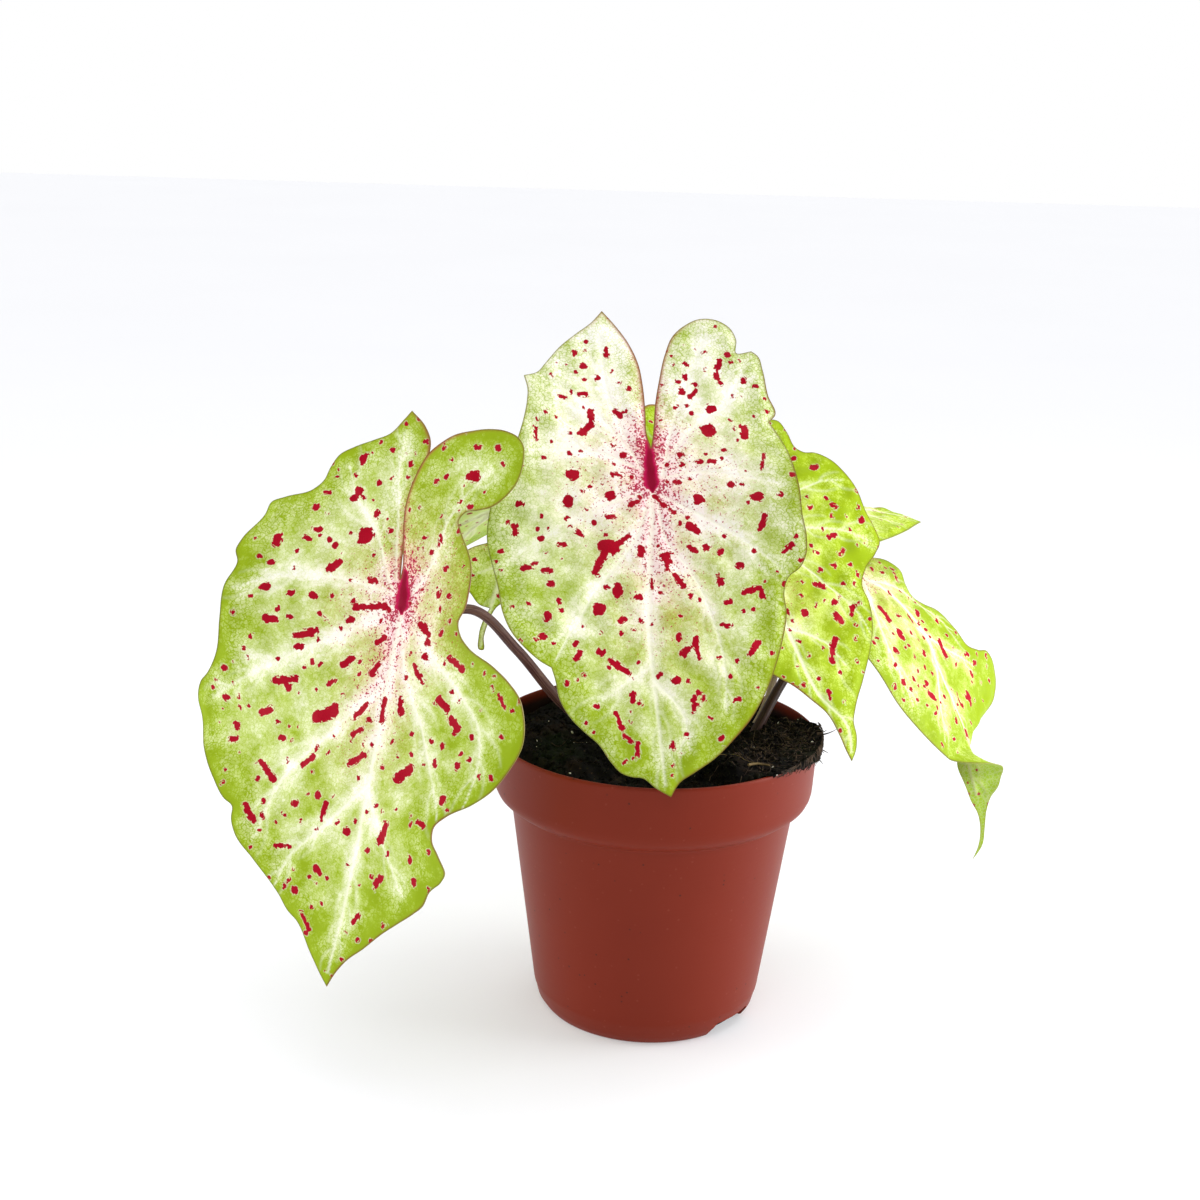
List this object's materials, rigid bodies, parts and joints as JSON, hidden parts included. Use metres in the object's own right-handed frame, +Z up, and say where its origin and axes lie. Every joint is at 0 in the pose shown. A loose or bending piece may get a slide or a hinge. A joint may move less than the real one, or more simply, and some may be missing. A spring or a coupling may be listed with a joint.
{
  "type": "potted caladium",
  "caption": "Potted caladium with heart-shaped, red-spotted white and green leaves on dark stalks, in a tapered plastic nursery pot with soil.",
  "frame": {"origin": "centre of the pot's flat underside, on the surface that the pot stands on", "axes": "+Z up along the pot's axis; -Y towards the side with the fullest view of the leaves; +X to the right in that view"},
  "size_m": [0.307, 0.2107, 0.2567],
  "materials": {
    "pot": "satin",
    "soil": "matte",
    "tuber": "matte",
    "blade": "satin",
    "petiole": "satin"
  },
  "bodies": {
    "root": {"pot": "pot", "soil": "soil", "tuber": "tuber", "blade_left": "blade", "blade_middle": "blade", "blade_right": "blade", "blade_far_right": "blade", "blade_back_right": "blade", "blade_small": "blade", "blade_back_left": "blade", "petiole_left": "petiole", "petiole_middle": "petiole", "petiole_right": "petiole", "petiole_far_right": "petiole", "petiole_back_right": "petiole", "petiole_small": "petiole", "petiole_back_left": "petiole"}
  },
  "joints": []
}
